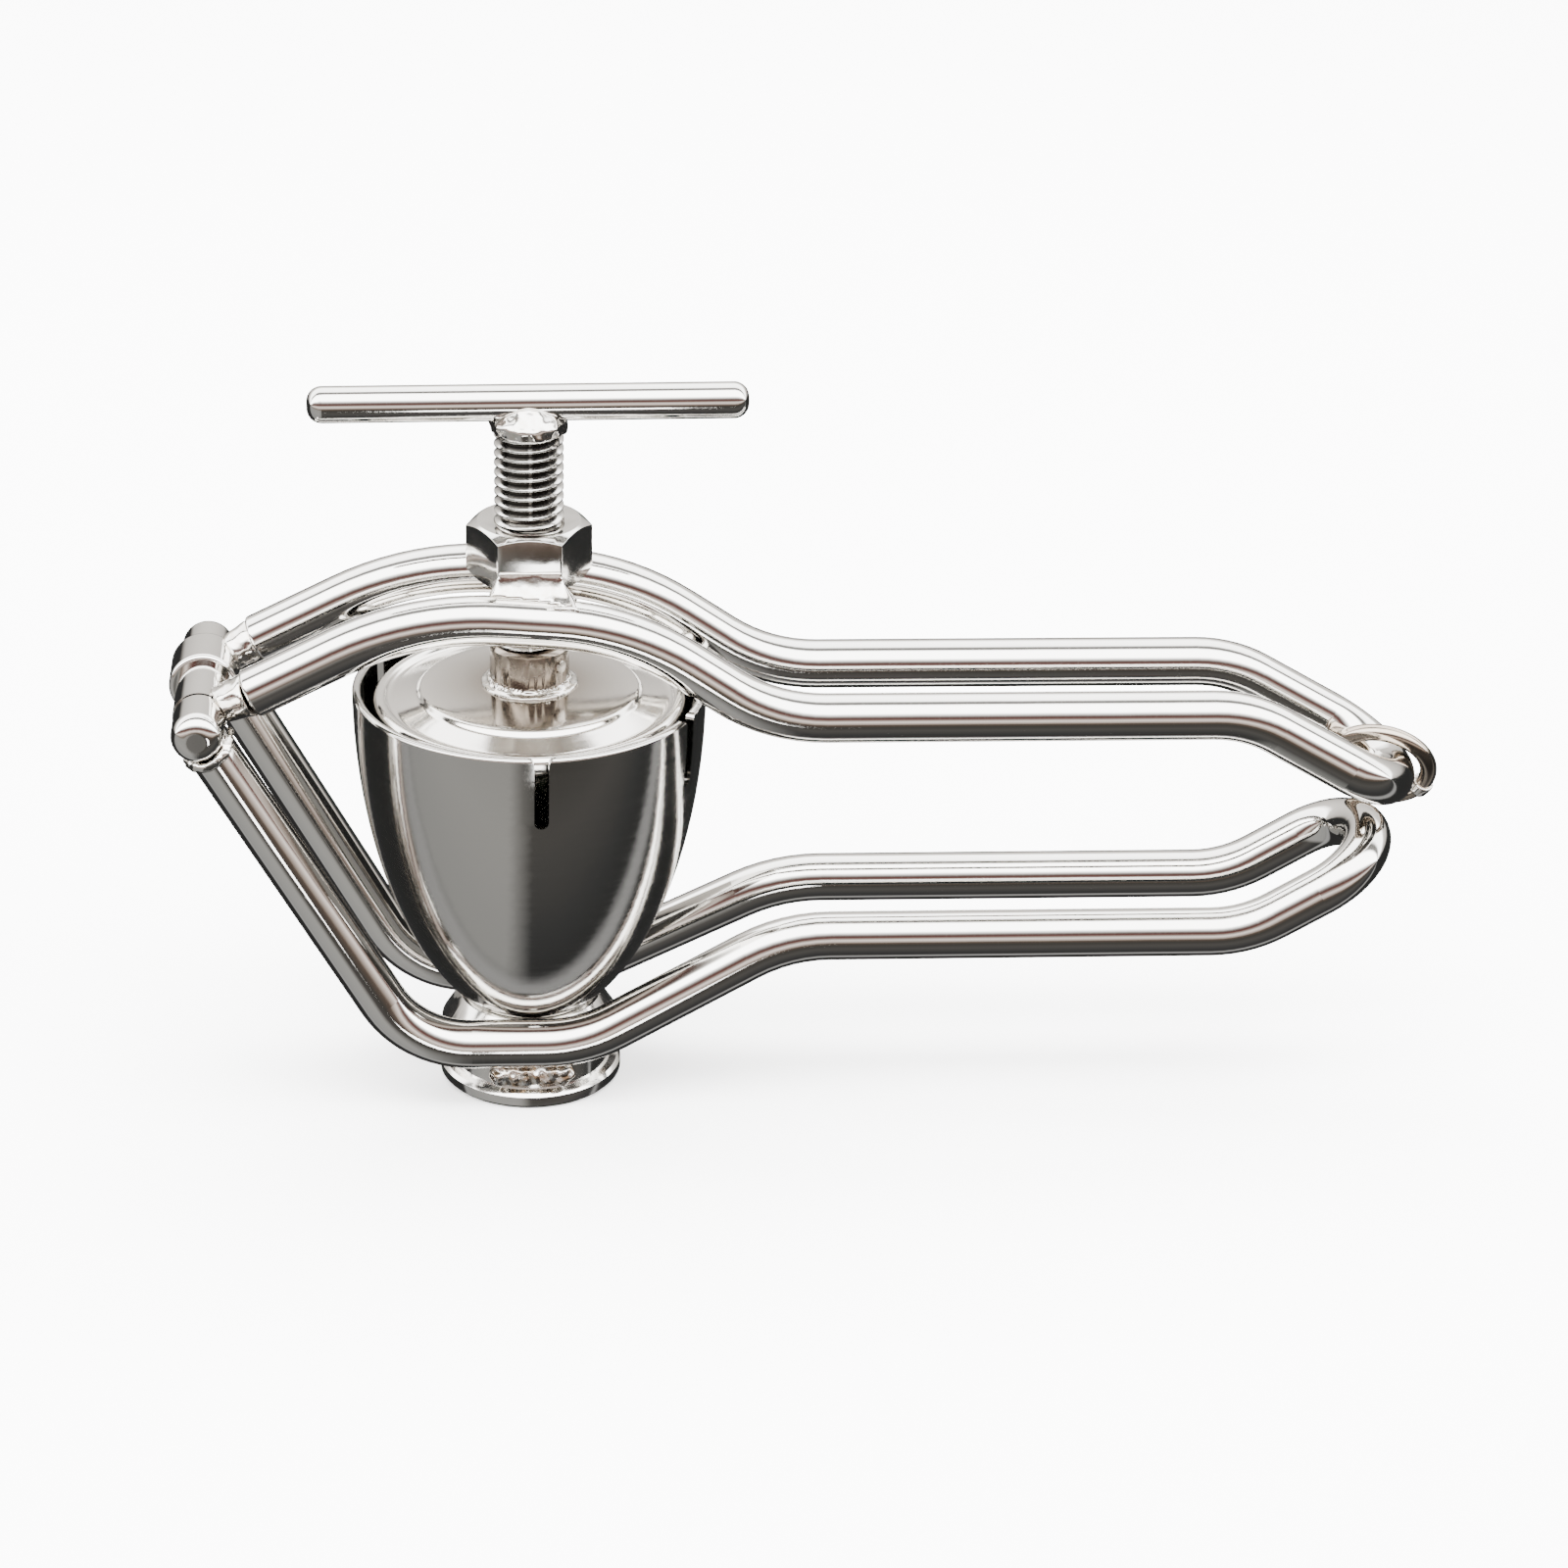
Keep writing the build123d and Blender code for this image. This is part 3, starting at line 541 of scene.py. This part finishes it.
for finish, names in WEARS.items():
    for name in names:
        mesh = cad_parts[name].data
        mesh.materials.clear()
        mesh.materials.append(finishes[finish])
print(sum(len(names) for names in WEARS.values()), "parts have a finish")

# %% [markdown]
# ## Tools for finer pieces
# Every finer piece is built as a bmesh, finished, and put on the CAD body it moves with. It also
# names the CAD part it stands for, so that part is hidden.

# %% Putting a piece in place
SHARP = radians(40)


def add_piece(name, mesh, body, slot, finish, *stands_for, sharp=SHARP):
    """Makes an object of a bmesh, merged, facing outwards and smooth, and hands it to the frame."""
    bmesh.ops.remove_doubles(mesh, verts=mesh.verts, dist=0.002 * MM)
    bmesh.ops.recalc_face_normals(mesh, faces=mesh.faces)
    data = bpy.data.meshes.new(name)
    mesh.to_mesh(data)
    mesh.free()
    data.shade_smooth()
    data.set_sharp_from_angle(angle=sharp)
    piece = bpy.data.objects.new(name, data)
    bpy.context.scene.collection.objects.link(piece)
    data.materials.append(finishes[finish])
    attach(piece, body)
    if stands_for:
        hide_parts(*stands_for)
    print(name, len(data.polygons), "faces")
    return piece


def turned_shape(outline, steps=128):
    """Solid of revolution about the upright axis from (radius, height) points in metres."""
    mesh = bmesh.new()
    points = [mesh.verts.new((radius, 0, height)) for radius, height in outline]
    edges = [mesh.edges.new(pair) for pair in zip(points, points[1:])]
    bmesh.ops.spin(
        mesh, geom=points + edges, cent=(0, 0, 0), axis=(0, 0, 1), angle=2 * pi,
        steps=steps, use_merge=True,
    )
    bmesh.ops.remove_doubles(mesh, verts=mesh.verts, dist=0.002 * MM)
    return mesh


def ease_edges(mesh, size, angle=radians(25), segments=3):
    """Rounds every edge sharper than an angle."""
    bmesh.ops.recalc_face_normals(mesh, faces=mesh.faces)
    sharp = [e for e in mesh.edges if e.is_manifold and e.calc_face_angle() > angle]
    bmesh.ops.bevel(
        mesh, geom=sharp, offset=size, offset_type="OFFSET", segments=segments, profile=0.5,
        affect="EDGES", clamp_overlap=True, material=-1,
    )


def copy_of(part):
    """A merged copy of a CAD part's mesh, to work on."""
    mesh = bmesh.new()
    mesh.from_mesh(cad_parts[part].data)
    bmesh.ops.remove_doubles(mesh, verts=mesh.verts, dist=0.001 * MM)
    return mesh


# %% [markdown]
# ## The screw
# The thread is cut by a tool that moves one pitch along the screw in each turn. A spin that also
# climbs does the same: the outline of one pitch is spun many turns, and each turn's top edge meets
# the next one's bottom edge. The ends are then cut flat, and the plain tip is turned as its own
# shape.

# %% Threaded screw
PITCH = 25.4 / 11 * MM
THREAD_STEPS = 72
ROUND_THREAD = [  # along one pitch, height from root to crest
    (0, 0), (0.1, 0), (0.2, 0.2), (0.36, 0.88), (0.43, 1),
    (0.57, 1), (0.64, 0.88), (0.8, 0.2), (0.9, 0), (1, 0),
]
screw_low, screw_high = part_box("press_screw")
crest = (screw_high.x - screw_low.x) / 2
root = crest - 0.6 * PITCH
shoulder_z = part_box("plunger_socket")[1].z + 0.3 * MM
turns = int((screw_high.z - shoulder_z) / PITCH) + 2
screw = bmesh.new()
outline = [
    screw.verts.new((root + (crest - root) * height, 0, shoulder_z - PITCH + along * PITCH))
    for along, height in ROUND_THREAD
]
outline_edges = [screw.edges.new(pair) for pair in zip(outline, outline[1:])]
bmesh.ops.spin(
    screw, geom=outline + outline_edges, cent=(0, 0, 0), axis=(0, 0, 1),
    dvec=(0, 0, PITCH / THREAD_STEPS), angle=2 * pi * turns, steps=THREAD_STEPS * turns,
)
bmesh.ops.remove_doubles(screw, verts=screw.verts, dist=0.002 * MM)
for height, side in ((shoulder_z, -1), (screw_high.z - 0.4 * MM, 1)):
    everything = screw.verts[:] + screw.edges[:] + screw.faces[:]
    cut = bmesh.ops.bisect_plane(
        screw, geom=everything, plane_co=(0, 0, height), plane_no=(0, 0, side), clear_outer=True
    )
    rim = [e for e in cut["geom_cut"] if isinstance(e, bmesh.types.BMEdge)]
    bmesh.ops.contextual_create(screw, geom=rim)
tip_radius, groove_radius = 5.0 * MM, 3.6 * MM
groove_z = screw_low.z + 4.4 * MM
tip = turned_shape(
    [
        (0, screw_low.z), (tip_radius, screw_low.z), (tip_radius, groove_z - 1.9 * MM),
        (groove_radius, groove_z - 1.9 * MM), (groove_radius, groove_z + 1.9 * MM),
        (tip_radius, groove_z + 1.9 * MM), (tip_radius, shoulder_z), (0, shoulder_z),
    ],
    steps=64,
)
tip_data = bpy.data.meshes.new("tip")
tip.to_mesh(tip_data)
tip.free()
screw.from_mesh(tip_data)
add_piece("threaded_screw", screw, "screw_group", "thread_steel", "thread", "press_screw")
print("thread:", turns, "turns of", round(PITCH / MM, 2), "mm")

# %% [markdown]
# ## Nut, foot and seat
# Machined steel never has a true sharp edge: it is broken with a file or in a tumbler, and that
# thin round edge catches the light. So these parts are copied from the CAD, their flat faces are
# joined again, and a bevel rounds every edge.

# %% Parts with broken edges
FLAT = radians(0.5)
BROKEN_EDGES = [  # CAD part, body, slot, finish, edge in millimetres
    ("screw_nut", "upper_lever", "polished_nut", "nut", 0.35),
    ("foot_ring", "lower_lever", "turned_steel", "turned", 0.4),
    ("cup_seat", "lower_lever", "turned_steel", "turned", 0.3),
    ("plunger_socket", "plunger_group", "turned_steel", "socket", 0.3),
    ("socket_grub_screw", "plunger_group", "hard_steel", "hard", 0.2),
    ("thrust_disc", "plunger_group", "hard_steel", "hard", 0.2),
]
for part, body, slot, finish, size in BROKEN_EDGES:
    shape = copy_of(part)
    bmesh.ops.dissolve_limit(shape, angle_limit=FLAT, verts=shape.verts, edges=shape.edges)
    ease_edges(shape, size * MM)
    add_piece("eased_" + part, shape, body, slot, finish, part)

# %% [markdown]
# ## Plunger
# The plunger is a disc pressed in a die: a rounded lip, a groove inside it, a ring that slopes up,
# a step and a nearly flat middle. Its outline is drawn once and spun. The bevel then gives every
# corner the soft radius that sheet metal takes over a die.

# %% Pressed plunger
LIP_WIDTH, GROOVE_DEPTH, STEP_INSET, CROWN_LIFT = 2.6, 0.9, 10.8, 3.0
EDGE_HEIGHT, PLATE = 5.0, 3.0
disc_low, disc_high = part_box("plunger")
disc = (disc_high.x - disc_low.x) / 2 / MM
crown = disc_high.z / MM
lip_z = crown - CROWN_LIFT
step = disc - STEP_INSET
plunger_outline = [
    (0, crown - PLATE), (step - 2.0, lip_z - 1.2), (disc - LIP_WIDTH - 3.0, lip_z - EDGE_HEIGHT),
    (disc - 1.5, lip_z - EDGE_HEIGHT), (disc, lip_z - EDGE_HEIGHT + 1.5), (disc, lip_z - 1.0),
    (disc - 1.0, lip_z), (disc - LIP_WIDTH, lip_z), (disc - LIP_WIDTH - 0.7, lip_z - GROOVE_DEPTH),
    (disc - LIP_WIDTH - 1.6, lip_z - GROOVE_DEPTH), (step + 0.6, lip_z + 0.6),
    (step - 0.2, lip_z + 1.8), (step - 2.4, lip_z + 1.9), (9.4, crown), (0, crown),
]
plunger = turned_shape([(radius * MM, height * MM) for radius, height in plunger_outline], 160)
ease_edges(plunger, 0.55 * MM, angle=radians(9), segments=4)
add_piece("pressed_plunger", plunger, "plunger_group", "polished_plunger", "plunger", "plunger")

# %% [markdown]
# ## Welds
# A weld is a puddle that froze. The CAD gives where each one is and how much metal it has. Here the
# copy is cut into small cubes of one size, which drops its hard corners, then smoothed like a
# puddle, swollen a little so that it bites into both parts, and roughened with slow lumps.

# %% Puddled welds
SWELL = 0.3
SHARP_ON_WELDS = radians(80)


def puddle(name, part, body, finish, grain, passes, lump, lump_size):
    """A weld: the CAD part's copy, remeshed, smoothed, swollen and made lumpy. In millimetres."""
    source = copy_of(part)
    bmesh.ops.recalc_face_normals(source, faces=source.faces)
    data = bpy.data.meshes.new(name + "_source")
    source.to_mesh(data)
    source.free()
    blank = bpy.data.objects.new(name + "_source", data)
    bpy.context.scene.collection.objects.link(blank)
    cubes = blank.modifiers.new("cubes", "REMESH")
    cubes.mode, cubes.voxel_size = "VOXEL", grain * MM
    soft = blank.modifiers.new("soft", "SMOOTH")
    soft.factor, soft.iterations = 0.5, passes
    settled = blank.evaluated_get(bpy.context.evaluated_depsgraph_get())
    mesh = bmesh.new()
    mesh.from_mesh(settled.to_mesh())
    bpy.data.objects.remove(blank)
    bmesh.ops.recalc_face_normals(mesh, faces=mesh.faces)
    mesh.normal_update()
    moves = [
        v.normal * (SWELL + lump * noise.noise(v.co / (lump_size * MM))) * MM for v in mesh.verts
    ]
    for vertex, move in zip(mesh.verts, moves):
        vertex.co += move
    return add_piece(name, mesh, body, finish, finish, part, sharp=SHARP_ON_WELDS)


WELDS = [  # piece, CAD part, body, slot and finish, grain, passes, lump height, lump size
    ("web_front", "nut_web_front", "upper_lever", "polished_weld", 0.3, 14, 0.12, 2.5),
    ("web_back", "nut_web_back", "upper_lever", "polished_weld", 0.3, 14, 0.12, 2.5),
    ("neck_front", "upper_neck_front", "upper_lever", "polished_weld", 0.3, 8, 0.15, 2.0),
    ("neck_back", "upper_neck_back", "upper_lever", "polished_weld", 0.3, 8, 0.15, 2.0),
    ("hinge_weld_front", "hinge_bead_front", "lower_lever", "polished_weld", 0.25, 5, 0.3, 1.4),
    ("hinge_weld_back", "hinge_bead_back", "lower_lever", "polished_weld", 0.25, 5, 0.3, 1.4),
    ("bar_weld", "tee_bar_bead", "screw_group", "polished_weld", 0.3, 6, 0.5, 2.2),
    ("foot_weld_front", "foot_bead_front", "lower_lever", "raw_weld", 0.25, 4, 0.6, 1.5),
    ("foot_weld_back", "foot_bead_back", "lower_lever", "raw_weld", 0.25, 4, 0.6, 1.5),
    ("socket_weld", "socket_bead", "plunger_group", "polished_weld", 0.3, 3, 0.2, 2.0),
    ("ring_weld", "lock_ring_bead", "ring_group", "polished_weld", 0.25, 5, 0.05, 1.2),
]
for weld in WELDS:
    puddle(*weld)
